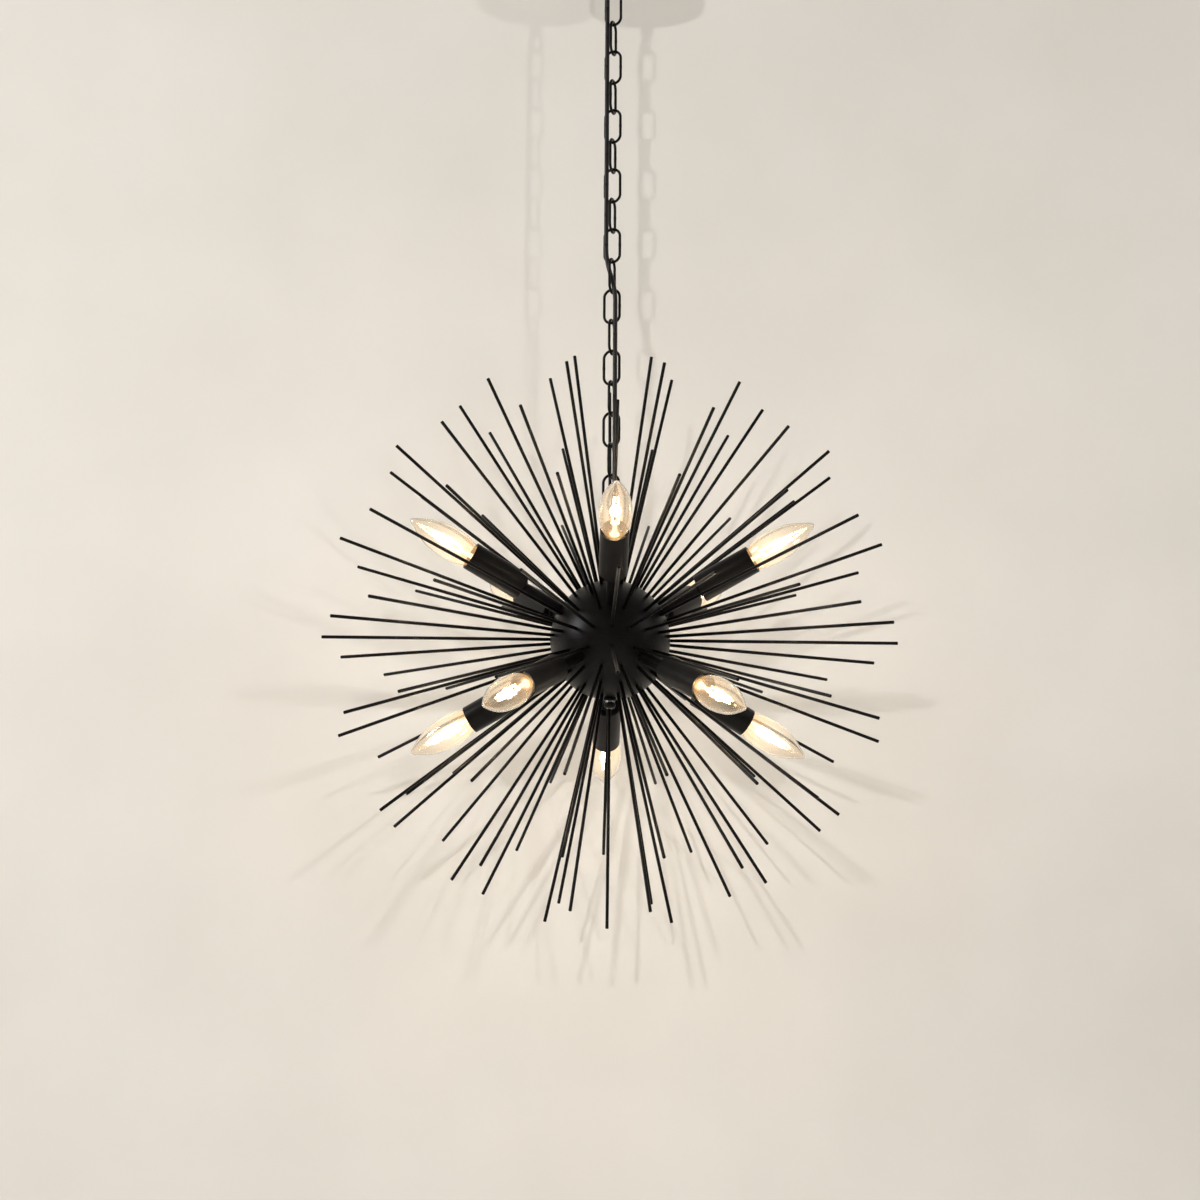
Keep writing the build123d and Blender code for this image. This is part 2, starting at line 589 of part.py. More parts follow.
SCREW_NECK = STRAP_THICKNESS + SEAT
with BuildPart() as screw_form:
    # standing head down, with the underside of its head on XY
    Cylinder(SCREW_HEAD_DIAMETER / 2, SCREW_HEAD_HEIGHT, align=DOWNWARDS)
    fillet(screw_form.edges().group_by(Axis.Z)[0], SCREW_HEAD_HEIGHT / 3)
    with Locations((0, 0, -SCREW_HEAD_HEIGHT)):
        Box(2 * SCREW_HEAD_DIAMETER, SCREW_SLOT, SCREW_HEAD_HEIGHT, mode=Mode.SUBTRACT)
    # the neck fills the strap's thickness, so the thread starts at the ceiling
    Cylinder(SCREW_NECK_DIAMETER / 2, SCREW_NECK, align=UPWARDS)
    with Locations((0, 0, SCREW_NECK)):
        Cylinder(SCREW_DIAMETER / 2, SCREW_LENGTH - SCREW_NECK, align=UPWARDS)
SCREW_Z = -STRAP_THICKNESS - SEAT
with BuildPart() as ceiling_screws:
    with Locations((-SLOT_SPACING / 2, 0, SCREW_Z), (SLOT_SPACING / 2, 0, SCREW_Z)):
        add(screw_form.part)
finish(ceiling_screws, "ceiling_screws")

NIPPLE_BOTTOM = CANOPY_LOOP_FOOT - LOOP_THREAD_DEPTH + SEAT
with BuildPart() as mounting_nipple:
    with BuildSketch(Plane.XY.offset(NIPPLE_BOTTOM)):
        Circle(TUBE_DIAMETER / 2)
        Circle(TUBE_BORE / 2, mode=Mode.SUBTRACT)
    extrude(amount=NIPPLE_ABOVE - NIPPLE_BOTTOM)
finish(mounting_nipple, "mounting_nipple")

with BuildPart() as nipple_nuts:
    with Locations((0, 0, SEAT), (0, 0, -STRAP_THICKNESS - SEAT - TUBE_NUT_HEIGHT)):
        add(tube_nut)
finish(nipple_nuts, "nipple_nuts")
print("centre of the ball", round(CENTRE_Z, 2))
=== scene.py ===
from math import cos, pi, radians, sin, tau

import bpy
import numpy as np
from mathutils import Matrix, Vector


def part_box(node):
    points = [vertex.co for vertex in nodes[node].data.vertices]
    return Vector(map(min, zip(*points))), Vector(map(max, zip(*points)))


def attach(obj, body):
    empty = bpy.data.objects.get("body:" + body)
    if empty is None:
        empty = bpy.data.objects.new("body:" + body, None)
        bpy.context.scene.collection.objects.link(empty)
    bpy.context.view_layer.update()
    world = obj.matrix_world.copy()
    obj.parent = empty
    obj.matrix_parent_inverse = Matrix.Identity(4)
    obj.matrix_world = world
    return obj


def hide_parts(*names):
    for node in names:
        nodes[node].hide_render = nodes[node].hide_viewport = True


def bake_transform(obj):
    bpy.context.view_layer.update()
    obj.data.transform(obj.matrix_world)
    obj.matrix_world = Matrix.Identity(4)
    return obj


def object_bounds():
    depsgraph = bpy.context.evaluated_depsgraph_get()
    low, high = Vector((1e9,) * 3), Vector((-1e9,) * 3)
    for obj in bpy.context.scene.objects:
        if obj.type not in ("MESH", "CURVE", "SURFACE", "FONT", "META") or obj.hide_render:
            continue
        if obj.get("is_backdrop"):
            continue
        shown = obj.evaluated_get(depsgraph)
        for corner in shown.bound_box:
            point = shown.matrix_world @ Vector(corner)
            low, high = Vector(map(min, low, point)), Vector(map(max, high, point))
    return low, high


# Sputnik chandelier: a hub ball with 110 radial rods and ten lit candle bulbs, in satin black
# steel, hung on a chain with its cord threaded down beside the links.
#
# Metres, in the frame's axes: the origin is on the ceiling, +Z is up and -Y faces the viewer.

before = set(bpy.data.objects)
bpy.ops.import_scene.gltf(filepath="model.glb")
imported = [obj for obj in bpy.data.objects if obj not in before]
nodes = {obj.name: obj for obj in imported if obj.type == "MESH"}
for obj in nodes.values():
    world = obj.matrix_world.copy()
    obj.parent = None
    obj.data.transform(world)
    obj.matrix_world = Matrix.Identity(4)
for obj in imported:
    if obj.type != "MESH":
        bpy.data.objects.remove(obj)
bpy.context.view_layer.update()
MM = 0.001

# ------------------------------------------------------------------ sizes, as in the solids
RING_STEP = 19.2  # degrees of latitude between two rings of rods
# ring, counted from the equator: rods in the ring, azimuth of its first rod
ROD_RINGS = {
    4: (5, 36), 3: (10, 18), 2: (15, 0), 1: (15, 12), 0: (20, 0),
    -1: (15, 0), -2: (15, 12), -3: (10, 18), -4: (5, 36),
}
ARM_LATITUDE = 26.565
CHAIN_TURN = radians(-20.0)
LINKS = 18
SEAT = 0.05 * MM  # gap between faces that rest on each other
ROD_RADIUS, ROD_FOOT, ROD_REACH, ROD_TIP_ROUND = 1.75 * MM, 61 * MM, 305 * MM, 0.8 * MM
BALL_RADIUS, BALL_WALL = 63.5 * MM, 2.5 * MM
CUP_FOOT, CUP_MOUTH, CUP_RADIUS, CUP_WALL = 110 * MM, 174 * MM, 15 * MM, 1.2 * MM
GLASS_FOOT, GLASS_LENGTH, GLASS_WALL = 167.05 * MM, 81 * MM, 0.8 * MM
CAP_LENGTH, CAP_RADIUS, THREAD_PITCH = 19 * MM, 6.8 * MM, 2.8 * MM
THREAD_DEPTH, FADE_RINGS = 0.35 * MM, 6  # half of crest to trough
CORD_RADIUS = 2.4 * MM
LINK_WIRE, LINK_INNER_LENGTH, LINK_INNER_WIDTH = 3.0 * MM, 35.4 * MM, 14.5 * MM

lowest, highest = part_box("radial_rods")
CENTRE = Vector((0, 0, (lowest.z + highest.z) / 2))


def outwards(latitude, azimuth):
    """Unit vector from the ball's centre; azimuth 0 faces the viewer and grows towards +X."""
    lat, az = radians(latitude), radians(azimuth)
    return Vector((cos(lat) * sin(az), -cos(lat) * cos(az), sin(lat)))


ARMS = [outwards(ARM_LATITUDE, 72 * n) for n in range(5)]
ARMS += [outwards(-ARM_LATITUDE, 36 + 72 * n) for n in range(5)]
RODS = [
    outwards(ring * RING_STEP, first + 360 / count * n)
    for ring, (count, first) in ROD_RINGS.items()
    for n in range(count)
]


# ------------------------------------------------------------------ node trees
def srgb(hex_colour):
    """A colour written in sRGB, as the linear values that a shader takes."""
    parts = [int(hex_colour[i : i + 2], 16) / 255 for i in (1, 3, 5)]
    return (*[c / 12.92 if c <= 0.04045 else ((c + 0.055) / 1.055) ** 2.4 for c in parts], 1.0)


def add(tree, kind, settings=None, **sockets):
    """One node with its settings and its sockets. A socket takes a value, or the output of another
    node as a link; _0 or _1 is a socket by its number."""
    node = tree.nodes.new(kind)
    for name, value in (settings or {}).items():
        setattr(node, name, value)
    for name, value in sockets.items():
        socket = node.inputs[int(name[1:]) if name[1:].isdigit() else name.replace("_", " ")]
        if isinstance(value, bpy.types.NodeSocket):
            tree.links.new(value, socket)
        else:
            socket.default_value = value
    return node


def ramp(tree, fac, *stops):
    """A colour ramp through (position, hex colour) stops."""
    node = add(tree, "ShaderNodeValToRGB", Fac=fac)
    elements = node.color_ramp.elements
    while len(elements) < len(stops):
        elements.new(1.0)
    for element, (position, colour) in zip(elements, stops):
        element.position, element.color = position, srgb(colour)
    return node.outputs["Color"]


def new_material(name):
    material = bpy.data.materials.new(name)
    material.use_nodes = True
    material.node_tree.nodes.clear()
    return material, material.node_tree


def grain(tree, size, detail=3.0, stretch=(1, 1, 1), rough=0.5):
    """Noise whose grains are about a size across, in metres, on the piece itself."""
    place = add(tree, "ShaderNodeTexCoord")
    lie = add(tree, "ShaderNodeMapping", Vector=place.outputs["Object"], Scale=stretch)
    noise = add(
        tree, "ShaderNodeTexNoise",
        Vector=lie.outputs["Vector"], Scale=1 / size, Detail=detail, Roughness=rough,
    )
    return noise.outputs["Fac"]


def surface(tree, height, depth, strength, **sockets):
    """A principled surface with a height pattern of some depth in metres, and the output."""
    bump = add(tree, "ShaderNodeBump", Height=height, Distance=depth, Strength=strength)
    shader = add(tree, "ShaderNodeBsdfPrincipled", Normal=bump.outputs["Normal"], **sockets)
    add(tree, "ShaderNodeOutputMaterial", Surface=shader.outputs["BSDF"])
    return shader


def spread(tree, fac, low, high):
    """A pattern from 0 to 1 laid between two values."""
    return add(tree, "ShaderNodeMapRange", Value=fac, To_Min=low, To_Max=high).outputs["Result"]


# ------------------------------------------------------------------ materials
def powder_coat(name, body, worn, roughness, peel):
    """Satin black polyester powder coat, baked on steel. Its orange peel, a millimetre or so from
    crest to crest, breaks up the highlights, and a faint warm grey shows where dust has settled."""
    material, tree = new_material(name)
    dust = grain(tree, 22 * MM, 5.0, rough=0.65)
    shader = surface(
        tree, grain(tree, peel), 0.06 * MM, 0.35,
        Base_Color=ramp(tree, dust, (0.45, body), (0.8, worn)),
        Roughness=spread(tree, dust, roughness - 0.06, roughness + 0.1),
    )
    shader.inputs["IOR"].default_value = 1.3
    return material


def plated(name, colour, tarnish, roughness, lines):
    """Zinc or nickel plate: bright metal with the fine lines of drawing or turning, and a dull
    bloom in patches."""
    material, tree = new_material(name)
    bloom = grain(tree, 9 * MM, 4.0)
    surface(
        tree, grain(tree, lines, stretch=(1, 1, 0.12)), 0.03 * MM, 0.3, Metallic=1.0,
        Base_Color=ramp(tree, bloom, (0.35, colour), (0.8, tarnish)),
        Roughness=spread(tree, bloom, roughness - 0.06, roughness + 0.12),
    )
    return material


def moulded(name, colour, mottle, roughness, pores):
    """A moulded or fired body: one colour all through, with a fine tooth that dulls its gloss."""
    material, tree = new_material(name)
    cloud = grain(tree, 6 * MM)
    surface(
        tree, grain(tree, pores), 0.05 * MM, 0.3,
        Base_Color=ramp(tree, cloud, (0.3, colour), (0.75, mottle)),
        Roughness=spread(tree, cloud, roughness - 0.06, roughness + 0.06),
    )
    return material


def cord_jacket():
    """Extruded black PVC, matt, with the slight lengthwise drag of the die."""
    material, tree = new_material("black PVC cord jacket")
    cloud = grain(tree, 8 * MM)
    surface(
        tree, grain(tree, 0.7 * MM, stretch=(1, 1, 0.1)), 0.05 * MM, 0.35,
        Base_Color=ramp(tree, cloud, (0.3, "#0D0C0B"), (0.8, "#1B1917")),
        Roughness=spread(tree, cloud, 0.4, 0.55),
    )
    return material


def blown_glass_painted_glow():
    """Clear soda-lime glass blown into a mould, with slow waves in its wall. Its faint warmth is a
    painted
    glow: an emission that is strongest and amber just above the cap and fades out towards the tip."""
    material, tree = new_material("clear blown soda-lime glass")
    height = add(tree, "ShaderNodeAttribute", {"attribute_name": "along_bulb"}).outputs["Fac"]
    # painted glow: an emission colour laid by height along the glass, amber at its foot and dark near its
    # tip
    shader = surface(
        tree, grain(tree, 14 * MM, 1.0), 1.2 * MM, 0.12,
        Emission_Color=ramp(
            tree, height,
            (0.0, "#CF9249"), (0.14, "#D9AE74"), (0.34, "#C4B79F"), (0.6, "#8C8576"), (0.85, "#15130F"),
        ),
    )
    shader.inputs["Base Color"].default_value = srgb("#FFF8EE")
    shader.inputs["Roughness"].default_value = 0.07
    shader.inputs["IOR"].default_value = 1.5
    shader.inputs["Transmission Weight"].default_value = 1.0
    shader.inputs["Emission Strength"].default_value = 0.18
    return material


def lit_phosphor():
    """The phosphor-coated rods of a bulb's filament, alight: hottest in the middle, amber towards
    the cap."""
    material, tree = new_material("lit filament phosphor")
    height = add(tree, "ShaderNodeAttribute", {"attribute_name": "along_bulb"}).outputs["Fac"]
    colour = ramp(tree, height, (0.2, "#FFC069"), (0.32, "#FFE9C0"), (0.5, "#FFF8E8"), (0.72, "#FFEDCB"))
    shader = surface(tree, grain(tree, 1 * MM), 0.05 * MM, 0.2, Emission_Color=colour)
    shader.inputs["Base Color"].default_value = srgb("#FFF3DC")
    shader.inputs["Emission Strength"].default_value = 40.0
    return material


black_coat = powder_coat("satin black powder coat", "#080606", "#12100E", 0.36, 1.1 * MM)
link_coat = powder_coat("black lacquered steel wire", "#080707", "#12100E", 0.30, 0.8 * MM)
zinc = plated("zinc-plated steel", "#C3C6C8", "#A2A5A8", 0.34, 0.5 * MM)
nickel = plated("nickel-plated brass", "#D8C9A4", "#B59B62", 0.26, 0.4 * MM)
phenolic = moulded("black phenolic moulding", "#131110", "#1D1A18", 0.42, 0.7 * MM)
steatite = moulded("fired steatite", "#E9E4D8", "#DDD6C6", 0.55, 0.8 * MM)
stem_glass = moulded("pressed glass stem", "#E8DCC4", "#F4EBDA", 0.15, 1.5 * MM)
jacket = cord_jacket()
glass = blown_glass_painted_glow()
filament_light = lit_phosphor()

FINISHES = {
    black_coat: ("canopy", "canopy_loop", "ball_loop", "ball_upper_shell", "ball_lower_shell",
                 "bottom_finial", "radial_rods", "arm_tubes", "socket_cups"),
    zinc: ("ceiling_strap", "ceiling_screws", "mounting_nipple", "nipple_nuts", "centre_tube",
           "centre_tube_nuts", "arm_nuts"),
    link_coat: tuple(f"chain_link_{n:02d}" for n in range(1, LINKS + 1)),
    steatite: ("junction_block",),
    phenolic: ("lampholders",),
    nickel: ("lampholder_shells", "lampholder_contacts", *(f"bulb_base_{n:02d}" for n in range(1, 11))),
    jacket: ("lampholder_leads", "power_cord"),
    glass: tuple(f"bulb_glass_{n:02d}" for n in range(1, 11)),
}
for finish, names in FINISHES.items():
    for name in names:
        nodes[name].data.materials.clear()
        nodes[name].data.materials.append(finish)


# ------------------------------------------------------------------ pieces
def new_piece(name, mesh, body, slot, *stands_for, finish=None):
    """A finished mesh as a piece on a body, with the nodes it stands for. Its slot is not used."""
    piece = bpy.data.objects.new(name, mesh)
    bpy.context.scene.collection.objects.link(piece)
    if finish:
        mesh.materials.clear()
        mesh.materials.append(finish)
    mesh.polygons.foreach_set("use_smooth", [True] * len(mesh.polygons))
    if body:
        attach(piece, body)
    if stands_for:
        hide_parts(*stands_for)
    return piece


def rounded(corners, radius, steps=4):
    """A line through (radius, height) corners, each with its own rounding."""
    line = []
    for i, corner in enumerate(corners):
        r = radius[i]
        if not r:
            line.append(tuple(corner))
            continue
        here = Vector(corner)
        before = (Vector(corners[i - 1]) - here).normalized() * r
        after = (Vector(corners[(i + 1) % len(corners)]) - here).normalized() * r
        for s in range(steps + 1):
            t = s / steps
            line.append(tuple(here + before * (1 - t) ** 2 + after * t**2))
    return line


def turned(name, profile, place=Matrix(), sides=48):
    """A solid of revolution about Z. The profile's (radius, height) points start and end on the
    axis, or run once round a wall, anticlockwise with the radius to the right."""
    verts, faces, rings = [], [], []
    for radius, height in profile:
        start = len(verts)
        if radius < 1e-7:
            rings.append([start] * sides)
            verts.append(place @ Vector((0, 0, height)))
        else:
            rings.append([start + s for s in range(sides)])
            turns = [tau * s / sides for s in range(sides)]
            verts += [place @ Vector((radius * cos(turn), radius * sin(turn), height)) for turn in turns]
    pairs = list(zip(rings, rings[1:]))
    if profile[0][0] > 1e-7:
        pairs.append((rings[-1], rings[0]))
    for a, b in pairs:
        for s in range(sides):
            t = (s + 1) % sides
            corners = [a[s], a[t], b[t], b[s]]
            face = [c for i, c in enumerate(corners) if c != corners[i - 1]]
            if len(face) > 2:
                faces.append(face)
    mesh = bpy.data.meshes.new(name)
    mesh.from_pydata(verts, [], faces)
    return mesh


def along(direction, distance=0.0):
    """A place on a ray from the ball's centre, its Z pointing outwards."""
    turn = Vector((0, 0, 1)).rotation_difference(direction).to_matrix().to_4x4()
    return Matrix.Translation(CENTRE + direction * distance) @ turn


def new_tree(name, **inputs):
    """A geometry tree with its named inputs; returns it with its input node."""
    kinds = {float: "NodeSocketFloat", int: "NodeSocketInt"}
    tree = bpy.data.node_groups.new(name, "GeometryNodeTree")
    tree.interface.new_socket("Geometry", in_out="INPUT", socket_type="NodeSocketGeometry")
    for title, kind in inputs.items():
        socket_type = kinds.get(kind, kind)
        tree.interface.new_socket(title.replace("_", " "), in_out="INPUT", socket_type=socket_type)
    tree.interface.new_socket("Geometry", in_out="OUTPUT", socket_type="NodeSocketGeometry")
    return tree, tree.nodes.new("NodeGroupInput")


def end_tree(tree, geometry, finish):
    """Every tree ends here: instances made real, and the finish laid on."""
    real = add(tree, "GeometryNodeRealizeInstances", Geometry=geometry)
    coat = add(tree, "GeometryNodeSetMaterial", Geometry=real.outputs["Geometry"], Material=finish)
    add(tree, "NodeGroupOutput", Geometry=coat.outputs["Geometry"])


def grown(name, tree, mesh, **values):
    """The plain mesh that a tree makes of a mesh, with its inputs set by their identifiers."""
    holder = bpy.data.objects.new(name, mesh)
    bpy.context.scene.collection.objects.link(holder)
    modifier = holder.modifiers.new(name, "NODES")
    modifier.node_group = tree
    for item in tree.interface.items_tree:
        title = item.name.replace(" ", "_")
        if item.in_out == "INPUT" and title in values:
            modifier[item.identifier] = values[title]
    made = bpy.data.meshes.new_from_object(holder.evaluated_get(bpy.context.evaluated_depsgraph_get()))
    made.name = name
    bpy.data.objects.remove(holder)
    return made


def rays_tree():
    """Sets one piece on every point, its Z along the ray from the ball's centre."""
    tree, given = new_tree(
        "on every ray", Piece="NodeSocketObject", Centre="NodeSocketVector", Finish="NodeSocketMaterial"
    )
    ray = add(
        tree, "ShaderNodeVectorMath", {"operation": "SUBTRACT"},
        _0=add(tree, "GeometryNodeInputPosition").outputs[0], _1=given.outputs["Centre"],
    )
    turn = add(tree, "FunctionNodeAlignRotationToVector", {"axis": "Z"}, Vector=ray.outputs[0])
    piece = add(tree, "GeometryNodeObjectInfo", Object=given.outputs["Piece"])
    set_out = add(
        tree, "GeometryNodeInstanceOnPoints", Points=given.outputs["Geometry"],
        Instance=piece.outputs["Geometry"], Rotation=turn.outputs["Rotation"],
    )
    end_tree(tree, set_out.outputs["Instances"], given.outputs["Finish"])
    return tree


def on_rays(name, form, rays, distance, finish):
    """One mesh of a form repeated along rays, standing at a distance from the ball's centre."""
    places = bpy.data.meshes.new(name + "_places")
    places.from_pydata([CENTRE + ray * distance for ray in rays], [], [])
    holder = bpy.data.objects.new(name + "_form", form)
    bpy.context.scene.collection.objects.link(holder)
    made = grown(name, RAYS_TREE, places, Piece=holder, Centre=CENTRE, Finish=finish)
    bpy.data.objects.remove(holder)
    return made


RAYS_TREE = rays_tree()
rod_form = turned(
    "rod",
    [(0, 0)] + rounded(
        [(ROD_RADIUS, 0), (ROD_RADIUS, ROD_REACH - ROD_FOOT), (0, ROD_REACH - ROD_FOOT)],
        (0, ROD_TIP_ROUND, 0),
    ),
    sides=20,
)
rods = on_rays("rods", rod_form, RODS, ROD_FOOT, black_coat)
new_piece("rods", rods, "chandelier", "black_metal", "radial_rods")

# the cup: a drawn tube with a rolled bottom edge, its floor held by the arm's flange
TUBE_RADIUS, TUBE_BORE, FLANGE_RADIUS = 6 * MM, 3.5 * MM, 9 * MM
CUP_FLOOR, CUP_HOLE = 1.6 * MM, TUBE_RADIUS + 0.1 * MM
cup_inside = CUP_RADIUS - CUP_WALL
cup_form = turned(
    "cup",
    rounded(
        [
            (CUP_HOLE, 0), (CUP_RADIUS, 0), (CUP_RADIUS, CUP_MOUTH - CUP_FOOT),
            (cup_inside, CUP_MOUTH - CUP_FOOT), (cup_inside, CUP_FLOOR), (CUP_HOLE, CUP_FLOOR),
        ],
        (0, 1.5 * MM, 0.5 * MM, 0.5 * MM, 0.6 * MM, 0),
    ),
    sides=64,
)
cups = on_rays("cups", cup_form, ARMS, CUP_FOOT, black_coat)
new_piece("cups", cups, "chandelier", "black_metal", "socket_cups")

TUBE_FOOT, TUBE_END = 52 * MM, 128 * MM
flange = CUP_FOOT - TUBE_FOOT - SEAT
tube_form = turned(
    "arm_tube",
    rounded(
        [
            (TUBE_BORE, 0), (TUBE_RADIUS, 0),
            (TUBE_RADIUS, flange - 2.5 * MM), (7.5 * MM, flange - 2.5 * MM),
            (FLANGE_RADIUS, flange - 0.6 * MM), (FLANGE_RADIUS, flange), (TUBE_RADIUS, flange),
            (TUBE_RADIUS, TUBE_END - TUBE_FOOT), (TUBE_BORE, TUBE_END - TUBE_FOOT),
        ],
        (0, 0.3 * MM, 0.4 * MM, 0.4 * MM, 0.3 * MM, 0.2 * MM, 0, 0.4 * MM, 0),
        3,
    ),
    sides=40,
)
arms = on_rays("arms", tube_form, ARMS, TUBE_FOOT, black_coat)
new_piece("arms", arms, "chandelier", "black_metal", "arm_tubes")

# the finial: a small cap nut on the tube's end, with a groove above its domed knob
FINIAL_TOP = -BALL_RADIUS + 0.2 * MM
FINIAL_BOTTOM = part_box("bottom_finial")[0].z - CENTRE.z
knob = rounded(
    [
        (6.5 * MM, FINIAL_TOP), (6.5 * MM, FINIAL_TOP - 2.2 * MM), (4.6 * MM, FINIAL_TOP - 3.2 * MM),
        (4.6 * MM, FINIAL_TOP - 4.2 * MM), (6.2 * MM, FINIAL_TOP - 5.4 * MM),
        (6.2 * MM, FINIAL_BOTTOM), (0, FINIAL_BOTTOM),
    ],
    (0, 0.5 * MM, 0.4 * MM, 0.4 * MM, 0.8 * MM, 4.0 * MM, 0),
)
finial = turned("finial", ([(0, FINIAL_TOP)] + knob)[::-1], Matrix.Translation(CENTRE), 48)
new_piece("finial", finial, "chandelier", "black_metal", "bottom_finial", finish=black_coat)


# ------------------------------------------------------------------ bulbs
def glass_line(inset, steps=56):
    """The candle glass's outline from foot to tip, drawn in by an inset."""
    # (height as a share of the glass, radius in millimetres): neck, belly, long taper, round tip
    outline = np.array([
        (0.0, 7.5), (0.02, 8.9), (0.05, 10.7), (0.09, 12.5), (0.13, 13.9), (0.18, 15.2), (0.24, 16.4),
        (0.31, 17.2), (0.38, 17.5), (0.45, 17.3), (0.52, 16.8), (0.6, 15.9), (0.68, 14.5), (0.76, 12.1),
        (0.84, 8.9), (0.9, 6.2), (0.94, 4.5), (0.965, 3.45), (0.985, 2.45), (0.995, 1.3), (1.0, 0.0),
    ])
    # points at even steps along the line, then its corners eased
    share = np.linspace(0, 1, steps)
    runs = np.diff(outline * [GLASS_LENGTH / MM, 1], axis=0)
    chord = np.concatenate([[0], np.cumsum(np.hypot(*runs.T))])
    chord /= chord[-1]
    heights, radii = np.interp(share, chord, outline[:, 0]), np.interp(share, chord, outline[:, 1])
    for _ in range(3):
        heights[1:-1] = (heights[:-2] + 2 * heights[1:-1] + heights[2:]) / 4
        radii[1:-1] = (radii[:-2] + 2 * radii[1:-1] + radii[2:]) / 4
    line = np.stack([radii * MM, GLASS_FOOT + heights * GLASS_LENGTH], axis=1)
    slope = np.gradient(line, axis=0)
    normal = np.stack([slope[:, 1], -slope[:, 0]], axis=1)
    normal /= np.linalg.norm(normal, axis=1)[:, None]
    normal[-1] = (0, 1)
    drawn = line - normal * inset
    drawn[:, 0] = np.maximum(drawn[:, 0], 0)
    drawn[-1, 0] = 0
    return [tuple(p) for p in drawn]


def mark_height(mesh, direction):
    """How far up the glass each point lies, from 0 at its foot to 1 at its tip."""
    rise = mesh.attributes.new("along_bulb", "FLOAT", "POINT")
    shares = [((v.co - CENTRE).dot(direction) - GLASS_FOOT) / GLASS_LENGTH for v in mesh.vertices]
    rise.data.foreach_set("value", [min(1.0, max(0.0, share)) for share in shares])


def joined(name, meshes):
    """Several meshes as one."""
    verts, faces = [], []
    for mesh in meshes:
        start = len(verts)
        verts += [v.co.copy() for v in mesh.vertices]
        faces += [[start + i for i in p.vertices] for p in mesh.polygons]
        bpy.data.meshes.remove(mesh)
    mesh = bpy.data.meshes.new(name)
    mesh.from_pydata(verts, [], faces)
    return mesh


def cap_mesh(name, place, sides=48, step=0.35 * MM):
    """The screw cap: a rolled thread that runs round it, closed below by its rounded shoulder and
    the contact. The thread's crests and troughs fade out at both ends."""
    foot, shoulder = GLASS_FOOT - CAP_LENGTH, 3 * MM
    rings = int((CAP_LENGTH - shoulder) / step)
    verts, faces = [place @ Vector((0, 0, foot - 1.5 * MM))], []

    def ring(radius_at, height):
        start = len(verts)
        for s in range(sides):
            r = radius_at(s)
            verts.append(place @ Vector((r * cos(tau * s / sides), r * sin(tau * s / sides), height)))
        if start == 1:
            faces.extend([0, 1 + (s + 1) % sides, 1 + s] for s in range(sides))
        else:
            a, b = start - sides, start
            faces.extend([a + s, a + (s + 1) % sides, b + (s + 1) % sides, b + s] for s in range(sides))

    for radius, height in ((2.3, -1.5), (2.5, -1.2), (2.5, 0.0), (4.2, 0.3), (5.4, 1.4), (6.1, 2.6)):
        ring(lambda s, radius=radius: radius * MM, foot + height * MM)
    for n in range(rings):
        z = foot + shoulder + n * step
        fade = min(1.0, n / FADE_RINGS, (rings - 1 - n) / FADE_RINGS)

        def threaded(s, z=z, fade=fade):
            return CAP_RADIUS - THREAD_DEPTH * (1 - fade * cos(tau * (z / THREAD_PITCH - s / sides)))

        ring(threaded, z)
    top = GLASS_FOOT - SEAT
    for radius, height in ((6.5 * MM, top), (5.0 * MM, top), (5.0 * MM, top - 1 * MM)):
        ring(lambda s, radius=radius: radius, height)
    centre = len(verts)
    verts.append(place @ Vector((0, 0, top - 1 * MM)))
    faces.extend([centre - sides + s, centre - sides + (s + 1) % sides, centre] for s in range(sides))
    mesh = bpy.data.meshes.new(name)
    mesh.from_pydata(verts, [], faces)
    return mesh


FILAMENTS, FILAMENT_RADIUS, FILAMENT_LEAN = 4, 0.9 * MM, radians(3.0)
FILAMENT_FOOT, FILAMENT_LENGTH, FILAMENT_CIRCLE = GLASS_FOOT + 20.8 * MM, 34 * MM, 4.5 * MM


def glass_mesh(name, place):
    """The blown glass with its wall: an outer skin and an inner one."""
    outside, inside = glass_line(0), glass_line(GLASS_WALL)
    inside[0] = (inside[0][0], GLASS_FOOT + GLASS_WALL)
    outer = turned("outer", [(0, GLASS_FOOT)] + outside, place, 56)
    inner = turned("inner", ([(0, GLASS_FOOT + GLASS_WALL)] + inside)[::-1], place, 56)
    return joined(name, [outer, inner])


def stem_mesh(name, place):
    """The pressed stem that carries the filament: a flared foot, a waist and a round head."""
    foot = GLASS_FOOT + GLASS_WALL + SEAT
    corners = [
        (5.5 * MM, foot), (3.2 * MM, foot + 3 * MM), (2.2 * MM, foot + 10 * MM),
        (2.6 * MM, foot + 18 * MM), (0, foot + 20 * MM),
    ]
    return turned(name, [(0, foot)] + rounded(corners, (0, 2.0 * MM, 2.0 * MM, 1.5 * MM, 0)), place, 24)


def filament_mesh(name, place):
    """The filament's rods, round the bulb's axis and leaning a little outwards."""
    corners = [(FILAMENT_RADIUS, 0), (FILAMENT_RADIUS, FILAMENT_LENGTH), (0, FILAMENT_LENGTH)]
    profile = [(0, 0)] + rounded(corners, (0.5 * MM, 0.5 * MM, 0), 3)
    lean = Matrix.Rotation(FILAMENT_LEAN, 4, "X").inverted()
    stood = Matrix.Translation((0, -FILAMENT_CIRCLE, FILAMENT_FOOT)) @ lean
    turns = [Matrix.Rotation(tau * (n + 0.5) / FILAMENTS, 4, "Z") for n in range(FILAMENTS)]
    return joined(name, [turned("filament", profile, place @ (turn @ stood), 12) for turn in turns])


